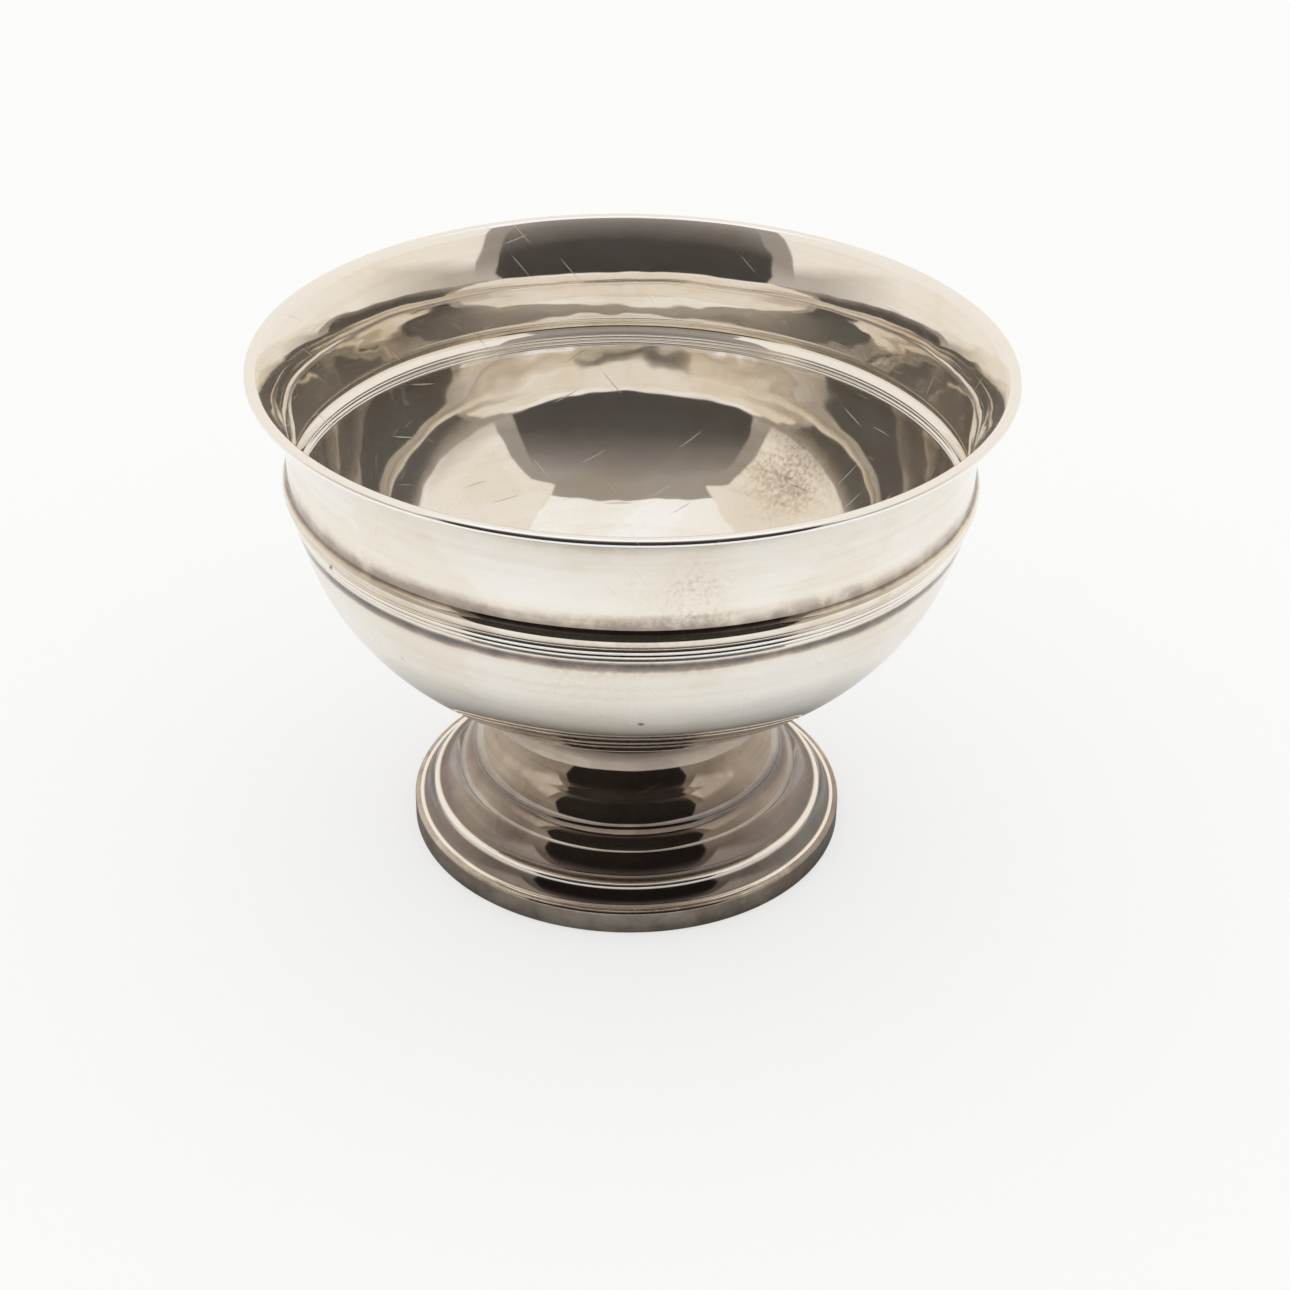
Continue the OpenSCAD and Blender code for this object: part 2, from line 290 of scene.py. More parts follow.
class BowlSection:
    """Places on the bowl's section that its pieces share."""

    def __init__(self, b):
        self.rim_r = b.rim_d / 2
        self.neck_r = self.rim_r - b.lip_out
        self.bottom = np.array([0.0, b.bottom_z])
        run = self.neck_r - b.body_in - b.flat_r
        self.side_top = UP - 2 * math.atan2(b.body_h, run) + b.side_lean
        across = b.side_r * math.cos(self.side_top) - run
        down = b.side_r * (1 - math.sin(self.side_top)) - b.body_h
        self.side_foot = UP - 2 * math.atan2(down, across)
        self.body_r = b.side_r - across / math.cos(self.side_foot)
        self.body_c = np.array([b.flat_r, b.bottom_z + self.body_r])
        self.bead_r = b.bead_hollow + b.wall
        reeds_z = b.bottom_z + b.body_h + b.wall * math.sin(self.side_top) + b.ledge_room
        bead_z = reeds_z + 4 * b.reed_r + self.bead_r * math.sin(b.bead_low)
        self.bead_c = np.array([self.neck_r + b.bead_out - self.bead_r, bead_z])
        first_reed = self.bead_c[0] + self.bead_r - b.reed_in - b.reed_r
        self.reeds = [
            np.array([first_reed - b.reed_step, reeds_z + b.reed_r]),
            np.array([first_reed, reeds_z + 3 * b.reed_r]),
        ]
        to_flute = np.array([b.reed_r - b.flute_r - b.wall - b.reed_extra, 0.0])
        self.flutes = [reed + to_flute for reed in self.reeds]
        crease_r = self.neck_r + b.cove_r * (1 - math.cos(b.cove_turn))
        self.bead_high = math.acos((crease_r - self.bead_c[0]) / self.bead_r)
        self.crease = self.bead_c + self.bead_r * outward(self.bead_high)
        self.neck_z = self.crease[1] + b.cove_r * math.sin(b.cove_turn) + b.neck_h
        # The seat's place and the lip's turn depend on each other, so they are closed in on from a guess
        self.lip_turn = math.radians(40)
        for _ in range(20):
            seat = self.seat(b)
            self.lip_turn = 2 * math.atan2(seat[0] - self.neck_r, seat[1] - self.neck_z)
        self.flare_r = (self.seat(b)[1] - self.neck_z) / math.sin(self.lip_turn)
        self.wire_c = np.array([self.rim_r - b.wire_r, b.rim_z - b.wire_r])
        self.wire_end = DOWN - 2 * self.lip_turn
        self.flare_c = np.array([self.neck_r + self.flare_r, self.neck_z])

    def rise(self, b, lip_turn):
        """Stretches from the crease above the bead up to a turn of the flared lip."""
        return [(-b.cove_r, b.cove_turn, OUT), (0, OUT, b.neck_h), (-self.flare_r, OUT, -lip_turn)]

    def seat(self, b):
        """Lower end of the flat that the rim wire sits on."""
        drop = 2 * b.wire_r * math.cos(self.lip_turn)
        return np.array([self.rim_r - b.wire_r, b.rim_z]) - drop * ahead(-self.lip_turn)


def bowl_outline(b):
    """The sheet's section from the middle of its underside, over the lip, to the middle inside."""
    s = BowlSection(b)
    body = [(0, DOWN, b.flat_r), (s.body_r, DOWN, -s.side_foot), (b.side_r, -s.side_foot, -s.side_top)]
    outside = np.concatenate(
        [
            walk(body, s.bottom)[0],
            *[arc(reed, b.reed_r, DOWN, UP) for reed in s.reeds],
            arc(s.bead_c, s.bead_r, -b.bead_low, s.bead_high),
            walk(s.rise(b, s.lip_turn), s.crease)[0],
            [[s.rim_r - b.wire_r, b.rim_z]],
        ]
    )
    reach = s.flare_r + b.wall - b.lip_ease
    ease_turn = math.asin((b.rim_z - b.lip_ease - s.neck_z) / reach)
    lip = arc(s.flare_c + reach * outward(2 * UP - ease_turn), b.lip_ease, UP, 2 * UP - ease_turn)
    inside = np.concatenate(
        [
            walk(body, s.bottom, b.wall)[0],
            *[arc(flute, b.flute_r, DOWN, UP) for flute in s.flutes],
            arc(s.bead_c, b.bead_hollow, -b.hollow_low, s.bead_high),
            walk(s.rise(b, ease_turn), s.crease, b.wall)[0],
        ]
    )
    return tidy(np.concatenate([outside, lip, inside[::-1]]))


def rim_wire_outline(b):
    """A round wire with one flat, which lies on the lip's seat."""
    s = BowlSection(b)
    return tidy(arc(s.wire_c, b.wire_r, UP, s.wire_end))


def rim_solder_outline(b):
    """A hollow fillet in the crevice between the rim wire and the flare."""
    s = BowlSection(b)
    seat = s.seat(b)
    on_wire = s.wire_c + b.wire_r * outward(s.wire_end + leg_turn(b.seam, b.wire_r))
    on_flare = s.flare_c - s.flare_r * outward(leg_turn(b.seam, s.flare_r) - s.lip_turn)
    return fillet(seat, on_wire, on_flare)


def fillet(corner, first, second):
    """A triangle whose long side bends towards its corner, as molten solder does: a quadratic
    curve from the first point to the second, pulled half way to the corner."""
    t = np.linspace(0, 1, 9)[:, None]
    pull = (corner + (first + second) / 2) / 2
    return tidy(np.concatenate([[corner], (1 - t) ** 2 * first + 2 * t * (1 - t) * pull + t**2 * second]))


def foot_rise(f):
    """Stretches of the foot's section from the base wire up to the waist."""
    edge_r = f.bend_r + f.wall
    return [
        (0, UP, f.base_land),
        (-f.low_toe_r, UP, f.cove_toe),
        (-f.low_cove_r, f.cove_toe, f.cove_head),
        (-f.nip_r, f.cove_head, OUT),
        (edge_r, OUT, UP),
        (0, UP, f.step_land),
        (-f.high_toe_r, UP, f.cove_toe),
        (-f.high_cove_r, f.cove_toe, f.cove_head),
        (-f.nip_r, f.cove_head, OUT),
        (edge_r, OUT, f.round_low),
        (f.ring_r, f.round_low, f.ring_turn),
        (-f.nick_r, f.ring_turn, OUT),
        (edge_r, OUT, f.round_low),
        (f.dome_r, f.round_low, f.dome_turn),
        (-f.waist_r, f.dome_turn, OUT),
    ]


class Throat:
    """The foot's arc that leaves the waist upright and ends on the bowl's round bottom."""

    def __init__(self, f, b):
        self.bowl = BowlSection(b)
        waist = walk(foot_rise(f), foot_start(f))[1]
        joint_r = waist[0] + f.throat_out
        inset = joint_r - self.bowl.body_c[0]
        rise = self.bowl.body_c[1] - math.sqrt(self.bowl.body_r**2 - inset**2) - waist[1]
        self.radius = (f.throat_out**2 + rise**2) / (2 * f.throat_out)
        self.centre = waist + np.array([self.radius, 0.0])

    def end(self, depth):
        """Elevation and place at which the face at a depth meets the bowl."""
        point = circles_cross(self.centre, self.radius + depth, self.bowl.body_c, self.bowl.body_r)
        return bearing(point, self.centre), point


def foot_start(f):
    """Upper edge of the sheet where it butts against the base wire."""
    return np.array([f.base_d / 2 - f.base_t, f.base_h])


def foot_outline(f, b):
    """The sheet's section, up the outside to the bowl and down the inside."""
    throat = Throat(f, b)
    outer = foot_rise(f) + [(-throat.radius, OUT, throat.end(0)[0])]
    inner = foot_rise(f) + [(-throat.radius, OUT, throat.end(f.wall)[0])]
    outside = walk(outer, foot_start(f))[0]
    inside = walk(inner, foot_start(f), f.wall)[0]
    return tidy(np.concatenate([outside, inside[::-1]]))


def foot_solder_outline(f, b):
    """A hollow fillet in the wedge between the throat and the bowl's bottom."""
    throat, s = Throat(f, b), BowlSection(b)
    turn, joint = throat.end(f.wall)
    inner_r = throat.radius + f.wall
    on_bowl = s.body_c + s.body_r * outward(bearing(s.body_c, joint) - leg_turn(f.seam, s.body_r))
    on_foot = throat.centre - inner_r * outward(turn + leg_turn(f.seam, inner_r))
    return fillet(joint, on_bowl, on_foot)


def base_wire_outline(f):
    """A flat wire on edge, with its two outer edges rounded."""
    rise = [
        (0, DOWN, f.base_t - f.sole_round),
        (f.sole_round, DOWN, OUT),
        (0, OUT, f.base_h - f.sole_round - f.base_round),
        (f.base_round, OUT, UP),
        (0, UP, f.base_t - f.base_round),
    ]
    return tidy(walk(rise, [f.base_d / 2 - f.base_t, 0.0])[0])


def base_solder_outline(f):
    """A hollow fillet in the corner under the sheet, inside the base wire."""
    corner = foot_start(f) - np.array([0.0, f.wall])
    return fillet(corner, corner - np.array([f.base_seam, 0]), corner - np.array([0, f.base_seam]))


# Surfaces


TURNS = 256  # facets round the axis
SHARP = math.radians(35)  # a fold sharper than this shows as an edge
LOBES = (3, 5, 8, 13, 19)  # waves of the hand work round the axis
LOW_RISE, HIGH_RISE = 16 * MM, 34 * MM  # shortest and longest of these waves up the sheet
RIM_CALM = 6 * MM  # below the rim the waves grow over this height
BASE_TRUE, BASE_CALM = 4 * MM, 4 * MM  # up to here there are none, and above it they grow over this height
AXIS_CALM = 20 * MM  # from the axis outwards they grow over this radius


def hand_waves(turn, height, depth, rim_z):
    """How far the hammer left the sheet out of round: a sum of cosines of the turn and the
    height with fixed phases, faded out at the rim and the table, where the wires are true."""
    rng = np.random.default_rng(7)
    circle = 2 * math.pi
    total = np.zeros(np.broadcast(turn, height).shape)
    for lobes in LOBES:
        phase, rise, lean = rng.uniform(0, circle), rng.uniform(LOW_RISE, HIGH_RISE), rng.uniform(0, circle)
        total += np.cos(lobes * turn + phase) * np.cos(circle * height / rise + lean) / math.sqrt(lobes)
    below_rim = np.clip((rim_z - height) / RIM_CALM, 0, 1)
    above_base = np.clip((height - BASE_TRUE) / BASE_CALM, 0, 1)
    return depth * total * below_rim * above_base


def ease(value, low, high):
    """0 under low, 1 over high, and a smooth cubic between them."""
    t = np.clip((value - low) / (high - low), 0, 1)
    return t * t * (3 - 2 * t)


HOLLOW_REACH = 1.5 * MM  # how far from a hollow a polishing cloth still bridges it
EDGE_REACH = 0.38 * MM  # how far from an edge it rubs harder
OVERHANG_REACH = 2.5 * MM  # how far down the film under an overhang fades
# Turn per metre at which a hollow or an edge begins to tell, and at which it tells fully
HOLLOW_BENDS = (40, 450)
EDGE_BENDS = (150, 900)


class Care(NamedTuple):
    """How a face was looked after: the film all over it, in its hollows and under its overhang,
    and how much of it was rubbed off its edges."""

    film: float
    hollow: float = 0.0
    overhang: float = 0.0
    rub: float = 0.7


def weathering(section, outside, inside):
    """Film and side of each point of a section. A cloth bridges hollows and rubs edges: both are
    the turn per metre of the section, hollow or round, spread along it with a bell curve. The
    inside begins at the section's highest point."""
    step = np.roll(section, -1, axis=0) - section
    heading = np.arctan2(step[:, 1], step[:, 0])
    turn = (heading - np.roll(heading, 1) + math.pi) % (2 * math.pi) - math.pi
    place = np.concatenate([[0], np.cumsum(np.hypot(*step.T))[:-1]])

    def spread_out(values, reach):
        bell = np.exp(-(((place[:, None] - place) / reach) ** 2) / 2) / (reach * math.sqrt(2 * math.pi))
        return bell @ values

    hollows = ease(spread_out(np.maximum(-turn, 0), HOLLOW_REACH), *HOLLOW_BENDS)
    edges = ease(spread_out(np.maximum(turn, 0), EDGE_REACH), *EDGE_BENDS)
    top = np.argmax(section[:, 1])
    within = np.arange(len(section)) > top
    drop = np.exp(-(section[top, 1] - section[:, 1]) / OVERHANG_REACH)
    film, hollow, overhang, rub = np.where(within, np.array(inside)[:, None], np.array(outside)[:, None])
    grown = film + np.maximum(hollow * hollows, overhang * drop)
    return {"film": grown - rub * edges, "inside": within.astype(float)}


def turned(name, section, looped, outside, inside, depth=0.0, rim_z=1.0):
    """A mesh of the section carried once round Z: each section point becomes a ring at its own
    distance and height. An open section starts and ends on the axis, where its rings are poles."""
    marks = weathering(section, outside, inside)
    turn = np.linspace(0, 2 * math.pi, TURNS, endpoint=False)
    rings = section if looped else section[1:-1]
    radius, height = rings[:, :1], rings[:, 1:]
    radius = radius + hand_waves(turn[None], height, depth, rim_z) * np.clip(radius / AXIS_CALM, 0, 1)
    level = np.broadcast_to(height, radius.shape)
    points = np.stack([radius * np.cos(turn), radius * np.sin(turn), level], -1).reshape(-1, 3)
    here = np.arange(len(rings) if looped else len(rings) - 1)[:, None] * TURNS
    there = (here + TURNS) % len(points) if looped else here + TURNS
    step, after = np.arange(TURNS), (np.arange(TURNS) + 1) % TURNS
    quads = np.stack([here + step, here + after, there + after, there + step], -1).reshape(-1, 4)
    faces = quads.tolist()
    if not looped:
        poles = np.array([[0, 0, section[0, 1]], [0, 0, section[-1, 1]]])
        first, last, final = len(points), len(points) + 1, len(points) - TURNS
        points = np.concatenate([points, poles])
        faces += np.stack([np.full(TURNS, first), after, step], -1).tolist()
        faces += np.stack([np.full(TURNS, last), final + step, final + after], -1).tolist()
    mesh = bpy.data.meshes.new(name)
    mesh.from_pydata(points, [], faces)
    mesh.shade_smooth()
    mesh.set_sharp_from_angle(angle=SHARP)
    for key, values in marks.items():
        on_rings = np.repeat(values if looped else values[1:-1], TURNS)
        on_poles = [] if looped else values[[0, -1]]
        on_points = np.concatenate([on_rings, on_poles]).astype(np.float32)
        mesh.attributes.new(key, "FLOAT", "POINT").data.foreach_set("value", on_points)
    mesh.update()
    return mesh


def place(mesh, node, slot, material):
    """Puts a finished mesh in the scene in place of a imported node."""
    piece = bpy.data.objects.new(mesh.name, mesh)
    bpy.context.scene.collection.objects.link(piece)
    mesh.materials.append(material)
    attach(piece, "root")
    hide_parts(node)


# Materials


def add(tree, kind, *values, out=0, own=None, **inputs):
    """Adds a node and returns one of its outputs, by number or name. A second word in the kind is
    its operation, and own holds its other attributes. Values fill its inputs in order, and inputs
    by name with _ for each space. Each is a number, a colour or a socket to link from."""
    kind, _, operation = kind.partition(" ")
    made = tree.nodes.new("ShaderNode" + kind)
    if operation:
        made.operation = operation
    for key, value in (own or {}).items():
        setattr(made, key, value)
    named = [(made.inputs[key.replace("_", " ")], value) for key, value in inputs.items()]
    for socket, value in [*zip(made.inputs, values), *named]:
        if isinstance(value, bpy.types.NodeSocket):
            tree.links.new(value, socket)
        else:
            socket.default_value = value
    return made.outputs[out] if made.outputs else None


def rgba(channels):
    """A colour with full alpha, as a colour socket takes it."""
    return (*channels, 1.0)


def per_metre(millimetres):
    """Noise scale at which one feature is about so many millimetres wide."""
    return 1 / (millimetres * MM)


def new_material(name):
    """An empty material, and add() for its nodes."""
    material = bpy.data.materials.new(name)
    material.use_nodes = True
    material.node_tree.nodes.clear()
    return material, partial(add, material.node_tree)


DRAWN_OUT = {"vector_type": "TEXTURE"}  # makes a Mapping's scale the size of the pattern
SCRATCH_TURNS = ((0.0, 0.0, 0.5), (0.9, 0.3, 1.7), (0.4, 1.1, 2.6))  # about X, Y and Z, for each way
HAIRLINE = (24, 1.2, 1.2)  # size in mm of the noise that the fine scratches follow
HAIRLINE_LEVEL = 0.36  # of that noise, where they run
DASH = (40 * MM, 40 * MM, 1.2 * MM)  # flat cell that holds one deep scratch


def hairlines(node, place_on, turn):
    """Mask of scratches that run one way. Cells are drawn out along it: the fine ones are level
    lines of a noise, and the short deep ones the middles of flat cells. Real ones are finer;
    these are drawn as wide as a picture can show."""
    along = node("Mapping", Vector=place_on, Rotation=turn, Scale=HAIRLINE, own=DRAWN_OUT)
    level = node("TexNoise", Vector=along, Scale=per_metre(1), Detail=1.0)
    off = node("Math ABSOLUTE", node("Math SUBTRACT", level, HAIRLINE_LEVEL))
    flat = node("Mapping", Vector=place_on, Rotation=turn, Scale=DASH, own=DRAWN_OUT)
    cells = node("TexVoronoi", Vector=flat, Scale=1.0)
    fine = node("MapRange", off, 0.0, 0.007, 0.3, 0.0)
    deep = node("MapRange", cells, 0.05, 0.075, 2.0, 0.0)
    return node("Math ADD", fine, deep)


# Old films that the cloth missed: middle in mm, reach in mm, strength, and whether it is inside
STAINS = (
    ((29.2, 37.1, 47.3), 16, 0.32, True),
    ((-24.0, 8.0, 34.0), 12, 0.16, True),
    ((-7.0, -52.5, 59.5), 14, 0.1, False),
    ((-14.0, -45.0, 40.0), 15, 0.24, False),
    ((10.0, -54.3, 74.0), 9, 0.18, False),
    ((3.0, -54.3, 66.0), 16, 0.09, False),
    ((38.0, 36.0, 66.0), 14, 0.14, False),
    ((-44.0, 24.0, 48.0), 15, 0.12, False),
)
SPECK = 0.8  # mm, width of the specks that a stain breaks up into


def stains(node, place_on, inside):
    """Extra film in a few places on one side of the sheet: a soft ball round each, broken up into
    specks."""
    broken = node("TexNoise", Vector=place_on, Scale=per_metre(SPECK), Detail=3.0, Roughness=0.6)
    specks = node("MapRange", broken, 0.36, 0.64, 0.3, 1.0)
    sides = {True: inside, False: node("Math SUBTRACT", 1.0, inside)}
    balls = []
    for centre, reach, strength, within in STAINS:
        away = node("VectorMath DISTANCE", place_on, tuple(c * MM for c in centre), out="Value")
        near = node("MapRange", away, 0.0, reach * MM, strength, 0.0)
        balls.append(node("Math MULTIPLY", near, sides[within]))
    return node("Math MULTIPLY", reduce(partial(node, "Math ADD"), balls), specks)


FILM_PLACES = (0.0, 0.2, 0.4, 0.58, 0.76, 1.0)  # thickness at which each film colour is reached
RAGGED, DRIFT = 4, 26  # mm, width of the fine and of the slow changes in the film
FACET, SPOT_APART = 15, 11  # mm, width of a hammer facet and distance between spots
STREAK, STREAK_RUN = 1.6, 28  # height of a wiping streak in mm, and how many times longer it runs
WORN = (45 * MM, 60 * MM)  # use has dulled the inside most up to the first height, less from the second
WORN_ABOVE = 0.45  # how much of that haze is left there
HAZE_ALL_OVER = 0.03  # share of the surface that no polishing makes bright
SEEN_OUTSIDE, SEEN_INSIDE = 0.12, 0.4  # how strongly scratches show
FIRM_OUTSIDE = 0.4  # strength of the facets outside, where they were smoothed more than inside
FILM_ROUGH = 0.06  # roughness that the thickest film adds
SCUFF = 0.65  # roughness of scratched silver


def silver(name, look, haze, patchy, marked=False):
    """Sterling silver that was polished by hand and has tarnished again. To the eye: a warm white
    mirror with shallow hammer facets and hairlines, straw, brown, mauve and blue films that grow
    in the hollows, edges rubbed bright, a few black spots, and a haze of scratches inside."""
    material, node = new_material(name)
    place_on = node("TexCoord", out="Object")
    film = node("Attribute", own={"attribute_name": "film"}, out="Fac")
    inside = node("Attribute", own={"attribute_name": "inside"}, out="Fac")

    # Thickness of the film: its own in patches, a slow drift, torn edges and wiping streaks
    ragged = node("TexNoise", Vector=place_on, Scale=per_metre(RAGGED), Detail=6.0, Roughness=0.65)
    drift = node("TexNoise", Vector=place_on, Scale=per_metre(DRIFT), Detail=3.0)
    torn = node("Math MULTIPLY_ADD", ragged, 0.25, drift)
    level = node("Mapping", Vector=place_on, Scale=(STREAK_RUN, STREAK_RUN, 1), own=DRAWN_OUT)
    wiped = node("TexNoise", Vector=level, Scale=per_metre(STREAK), Detail=3.0, Roughness=0.6)
    growths = [
        node("Math MULTIPLY", film, node("MapRange", ragged, 0.3, 0.7, 1 - patchy, 1 + patchy)),
        node("MapRange", drift, 0.4, 0.7, 0.0, 0.08),
        node("MapRange", torn, 0.65, 0.67, 0.0, 0.03),
        node("MapRange", wiped, 0.45, 0.75, 0.0, 0.08),
    ]
    if marked:
        growths.append(stains(node, place_on, inside))
    grown = reduce(partial(node, "Math ADD"), growths)
    thick = node("Math MAXIMUM", grown, 0.0, own={"use_clamp": True})

    # Colour by thickness, with a few spots
    films = node("ValToRGB", thick)
    colours = (look.bright, look.straw, look.brown, look.mauve, look.blue, look.dark)
    stops = films.node.color_ramp.elements
    stops[1].position = FILM_PLACES[-1]
    for at in FILM_PLACES[1:-1]:
        stops.new(at)
    for stop, channels in zip(stops, colours):
        stop.color = rgba(channels)
    cells = node("TexVoronoi", Vector=place_on, Scale=per_metre(SPOT_APART))
    dots = node("MapRange", cells, 0.03, 0.06, 1.0, 0.0)
    spots = node("Math MULTIPLY", dots, node("MapRange", drift, 0.5, 0.56, 0.0, 0.75))
    base = node("MixRGB", spots, films, rgba(look.spot))

    # A mirror with hammer facets, and the share of it that is scratched dull
    hammered = node("TexNoise", Vector=place_on, Scale=per_metre(FACET), Detail=2.0, Roughness=0.45)
    firm = node("Math MULTIPLY_ADD", inside, 1 - FIRM_OUTSIDE, FIRM_OUTSIDE)
    facets = node("Bump", Strength=firm, Distance=look.planish, Height=hammered)
    rough = node("Math MULTIPLY_ADD", thick, FILM_ROUGH, look.roughness)
    mirror = node("BsdfPrincipled", Base_Color=base, Metallic=1.0, Roughness=rough, Normal=facets)
    scuffed = node("BsdfPrincipled", Base_Color=base, Metallic=1.0, Roughness=SCUFF)
    scratched = reduce(partial(node, "Math ADD"), [hairlines(node, place_on, turn) for turn in SCRATCH_TURNS])
    height = node("SeparateXYZ", place_on, out="Z")
    worn = node("Math MULTIPLY", inside, node("MapRange", height, *WORN, haze, haze * WORN_ABOVE))
    hazed = node("Math ADD", worn, HAZE_ALL_OVER)
    seen = node("Math MULTIPLY_ADD", inside, SEEN_INSIDE - SEEN_OUTSIDE, SEEN_OUTSIDE)
    share = node("Math MULTIPLY_ADD", scratched, seen, hazed)
    node("OutputMaterial", node("MixShader", share, mirror, scuffed))
    return material


SOLDER_GRAIN, SOLDER_PATCH, PIT = 0.8, 6, 0.05  # mm, widths of the grain and patches, depth of a pit


def silver_solder(look):
    """Hard silver solder, as it froze: dull, a little yellow, with a fine grain and small pits."""
    material, node = new_material("hard silver solder")
    place_on = node("TexCoord", out="Object")
    grain = node("TexNoise", Vector=place_on, Scale=per_metre(SOLDER_GRAIN), Detail=4.0)
    blotches = node("TexNoise", Vector=place_on, Scale=per_metre(SOLDER_PATCH), Detail=3.0)
    patches = node("MapRange", blotches, 0.35, 0.65)
    base = node("MixRGB", patches, rgba(look.solder), rgba(look.brown))
    rough = node("MapRange", grain, 0.3, 0.7, 0.26, 0.48)
    pits = node("Bump", Strength=1.0, Distance=PIT * MM, Height=grain)
    frozen = node("BsdfPrincipled", Base_Color=base, Metallic=1.0, Roughness=rough, Normal=pits)
    node("OutputMaterial", frozen)
    return material


# Operators


def settings():
    """The property groups of the bowl, the foot, the silver and the studio."""
    scene = bpy.context.scene
    return scene.sugar_bowl, scene.sugar_foot, scene.sugar_silver, scene.sugar_studio


class SUGAR_OT_bowl(bpy.types.Operator):
    """Spun bowl with its girdle and flared lip"""

    bl_idname = "sugar.bowl"
    bl_label = "Bowl"

    def execute(self, context):
        b, _, look, _ = settings()
        outside, inside = Care(0.06, hollow=0.62, overhang=0.2), Care(0.03, hollow=0.1)
        mesh = turned("bowl", bowl_outline(b), False, outside, inside, look.hand_work, b.rim_z)
        place(mesh, "bowl_body", "silver_sheet", silver("sterling silver sheet", look, 0.13, 0.25, True))
        return {"FINISHED"}


class SUGAR_OT_foot(bpy.types.Operator):
    """Spun hollow foot with its coves, ring, dome and waist"""

    bl_idname = "sugar.foot"
    bl_label = "Foot"

    def execute(self, context):
        b, f, look, _ = settings()
        outside, inside = Care(0.35, hollow=0.32, rub=0.62), Care(0.6, hollow=0.2, rub=0.1)
        mesh = turned("foot", foot_outline(f, b), True, outside, inside, look.hand_work, b.rim_z)
        place(mesh, "foot_shell", "silver_sheet", silver("sterling silver foot", look, 0.4, 0.08))
        return {"FINISHED"}


class SUGAR_OT_wires(bpy.types.Operator):
    """Drawn wires round the rim and the base"""

    bl_idname = "sugar.wires"
    bl_label = "Wires"

    def execute(self, context):
        b, f, look, _ = settings()
        drawn = silver("drawn silver wire", look, 0.0, 0.2)
        rubbed, neglected = Care(0.05), Care(0.45, rub=0.12)
        rim = turned("rim_ring", rim_wire_outline(b), True, rubbed, rubbed)
        place(rim, "rim_wire", "silver_wire", drawn)
        base = turned("base_ring", base_wire_outline(f), True, neglected, neglected)
        place(base, "base_wire", "silver_wire", drawn)
        return {"FINISHED"}


class SUGAR_OT_seams(bpy.types.Operator):
    """Solder seams at the rim, in the throat and inside the base"""

    bl_idname = "sugar.seams"
    bl_label = "Solder seams"

    def execute(self, context):
        b, f, look, _ = settings()
        solder = silver_solder(look)
        seams = {
            "rim_solder": rim_solder_outline(b),
            "foot_solder": foot_solder_outline(f, b),
            "base_solder": base_solder_outline(f),
        }
        for node, section in seams.items():
            name = node.replace("solder", "seam")
            seam = turned(name, section, True, Care(0), Care(0), look.hand_work, b.rim_z)
            place(seam, node, "silver_solder", solder)
        return {"FINISHED"}


def plain(name, corners, material):
    """A flat stage piece."""
    mesh = bpy.data.meshes.new(name)
    mesh.from_pydata(corners, [], [range(len(corners))])
    mesh.materials.append(material)
    piece = bpy.data.objects.new(name, mesh)
    bpy.context.scene.collection.objects.link(piece)
    return piece


FLOOR_REACH = 6.0  # metres, half the floor's width
FLOOR_FLAT = 0.6  # share of the floor that the camera sees without its shadow
SHADE_INNER, SHADE_OUTER = 36 * MM, 66 * MM  # radii from which to which the painted shadow under the bowl gives way
SHADE_LIGHT = 0.05  # light that the painted shadow leaves on the floor at the foot
FOOT_HOLE = 35.5 * MM  # radius of the opening under the hollow foot
LENS_FRAME = 36  # mm, width of the frame that the focal length goes with


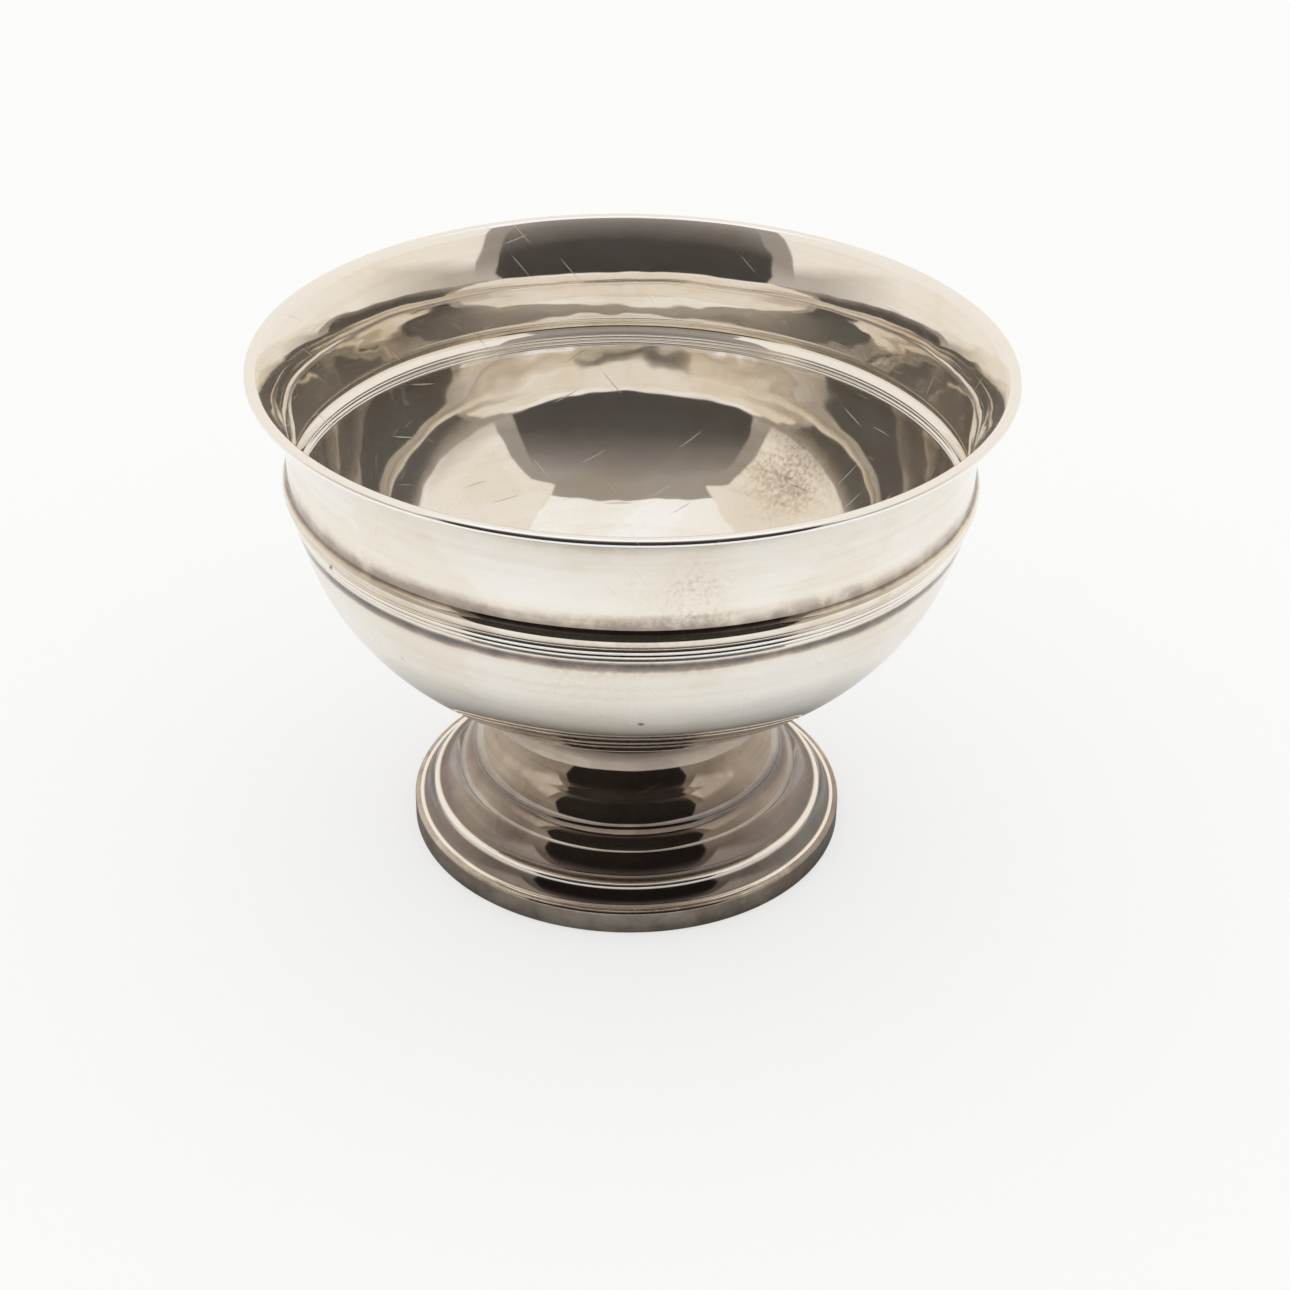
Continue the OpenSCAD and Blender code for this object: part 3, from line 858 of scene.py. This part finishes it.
class SUGAR_OT_stage(bpy.types.Operator):
    """Pale floor, light tent with a dark opening, and camera"""

    bl_idname = "sugar.stage"
    bl_label = "Stage"

    def execute(self, context):
        studio = settings()[3]
        scene = context.scene
        scene.view_settings.view_transform = "Standard"
        self.floor(studio)
        self.tent(studio)
        self.light(scene, studio)
        self.camera(scene, studio)
        return {"FINISHED"}

    def floor(self, studio):
        """A wide pale sheet under the bowl, whose shadow the camera sees at less than half its depth.
        The mirror finish also sees a painted shadow: the floor's colour darkens towards the axis, standing
        for the deeper shade that a lit roof would throw right under the bowl. The sheet is clear from
        below and inside the hollow foot, so that the underside can be looked at."""
        material, node = new_material("pale sweep")
        camera = node("LightPath", out="Is Camera Ray")
        away = node("VectorMath LENGTH", node("TexCoord", out="Object"), out="Value")
        # Painted shadow: for rays other than the camera's, the floor's colour darkens to the shade colour
        # towards the axis
        lit = node("Math SQRT", node("MapRange", away, SHADE_INNER, SHADE_OUTER, SHADE_LIGHT, 1.0))
        under = node("Math SUBTRACT", 1.0, lit)
        deep = node("Math MULTIPLY", under, node("Math SUBTRACT", 1.0, camera))
        tint = node("MixRGB", deep, rgba(studio.floor), rgba(studio.shade))
        shaded = node("BsdfDiffuse", Color=tint)
        flat = node("Emission", Color=rgba(studio.floor))
        both = node("MixShader", node("Math MULTIPLY", camera, FLOOR_FLAT), shaded, flat)
        inner = node("Math LESS_THAN", away, FOOT_HOLE)
        clear = node("Math MAXIMUM", node("NewGeometry", out="Backfacing"), inner)
        node("OutputMaterial", node("MixShader", clear, both, node("BsdfTransparent")))
        corners = [(-1, -1), (1, -1), (1, 1), (-1, 1)]
        plain("floor", [(FLOOR_REACH * x, FLOOR_REACH * y, 0) for x, y in corners], material)

    def tent(self, studio):
        """A box of glowing sheets that only the mirror finish sees and that light nothing: a painted
        reflection of a pale cloth tent with a lit panel in its roof and a dark opening towards the camera.
        Its flaps and its cloth low down in front are darker with painted shade."""
        half, front, back, high = 0.4, -0.25, 0.57, 0.7  # half its width, its ends and its height
        slit, gap, sill = 0.23, 0.29, 0.16  # half the opening at the table and from the sill's height up
        hem, near, far = 0.29, -0.16, 0.25  # half the lit panel's width, and its ends
        lap = 0.005  # how far a panel hangs inside the cloth behind it

        # Corners of a sheet that stands beside or across the bowl, or lies over it
        def beside(x):
            return [(x, front, 0), (x, back, 0), (x, back, high), (x, front, high)]

        def across(x, y):
            return [(-x, y, 0), (x, y, 0), (x, y, high), (-x, y, high)]

        def over(x, start, end, z):
            return [(-x, start, z), (x, start, z), (x, end, z), (-x, end, z)]

        right = [(slit, front + lap, 0), (gap, front + lap, sill), (gap, front + lap, high)]
        parted = right + [(-x, y, z) for x, y, z in reversed(right)]
        sheets = {
            "left_wall": (beside(-half), studio.wall),
            "right_wall": (beside(half), studio.wall),
            "back_wall": (across(half, back), studio.wall),
            "roof": (over(half, front, back, high), studio.wall),
            # Painted reflection of a lit panel: it glows for the mirror finish only and lights nothing
            "roof_light": (over(hem, near, far, high - lap), studio.light),
            "roof_flap": (over(hem, front, near, high - lap), studio.flap),
            "flaps": (across(half, front), studio.flap),
            "opening": (parted, studio.flap),
        }
        # Painted shade and darkness: colour low down in front, and between which places it gives way to the
        # sheet's own
        side_fade = (studio.painted_cloth_shade, {"Z": (0.2, 0.3), "Y": (-0.15, 0.1)})
        fades = {
            "left_wall": side_fade,
            "right_wall": side_fade,
            "flaps": (studio.painted_cloth_shade, {"Z": (0.14, 0.26)}),
            "opening": (studio.dark, {"Z": (0.26, 0.56)}),
        }
        for name, (corners, channels) in sheets.items():
            material, node = new_material(name)
            tint = rgba(channels)
            if name in fades:
                lower, limits = fades[name]
                place_on = node("TexCoord", out="Object")
                parts = [
                    node("MapRange", node("SeparateXYZ", place_on, out=axis), *limit)
                    for axis, limit in limits.items()
                ]
                tint = node("MixRGB", reduce(partial(node, "Math MAXIMUM"), parts), rgba(lower), tint)
            node("OutputMaterial", node("Emission", Color=tint))
            wall = plain(name, corners, material)
            wall.visible_camera = wall.visible_diffuse = wall.visible_shadow = False

    def light(self, scene, studio):
        """The same soft light from every side."""
        world = bpy.data.worlds.new("soft light")
        world.use_nodes = True
        world.node_tree.nodes["Background"].inputs["Color"].default_value = rgba(studio.light)
        scene.world = world

    def camera(self, scene, studio):
        """A camera in front of the bowl, above its rim and looking down at it."""
        tilt, pan, roll = studio.tilt, studio.pan, studio.roll
        forward = np.array([math.sin(pan) * math.cos(tilt), math.cos(pan) * math.cos(tilt), -math.sin(tilt)])
        side = np.array([math.cos(pan), -math.sin(pan), 0.0])
        up = np.cross(side, forward)
        across = math.cos(roll) * side + math.sin(roll) * up
        upright = -math.sin(roll) * side + math.cos(roll) * up
        turn = Matrix(np.stack([across, upright, -forward], 1).tolist()).to_4x4()
        lens = bpy.data.cameras.new("camera")
        lens.lens, lens.sensor_width, lens.clip_start = studio.lens_mm, LENS_FRAME, 10 * MM
        camera = bpy.data.objects.new("camera", lens)
        camera.matrix_world = Matrix.Translation((0, -studio.camera_away, studio.camera_up)) @ turn
        scene.collection.objects.link(camera)
        scene.camera = camera


class SUGAR_PT_panel(bpy.types.Panel):
    """Sidebar list of the bowl's pieces and sizes"""

    bl_idname = "SUGAR_PT_panel"
    bl_label = "Sugar Bowl"
    bl_space_type = "VIEW_3D"
    bl_region_type = "UI"
    bl_category = "Sugar Bowl"

    def draw(self, context):
        for operator in OPERATORS:
            self.layout.operator(operator.bl_idname)
        for group in settings():
            box = self.layout.box()
            for key in group.__annotations__:
                box.prop(group, key)


OPERATORS = (SUGAR_OT_bowl, SUGAR_OT_foot, SUGAR_OT_wires, SUGAR_OT_seams, SUGAR_OT_stage)
GROUPS = {
    "sugar_bowl": BowlSizes,
    "sugar_foot": FootSizes,
    "sugar_silver": SilverLook,
    "sugar_studio": StudioLook,
}


def register():
    for cls in (*GROUPS.values(), *OPERATORS, SUGAR_PT_panel):
        bpy.utils.register_class(cls)
    for name, group in GROUPS.items():
        setattr(bpy.types.Scene, name, PointerProperty(type=group))


def unregister():
    for name in GROUPS:
        delattr(bpy.types.Scene, name)
    for cls in (SUGAR_PT_panel, *OPERATORS, *GROUPS.values()):
        bpy.utils.unregister_class(cls)


def main():
    register()
    bpy.ops.sugar.bowl()
    bpy.ops.sugar.foot()
    bpy.ops.sugar.wires()
    bpy.ops.sugar.seams()
    bpy.ops.sugar.stage()


if __name__ == "__main__":
    main()
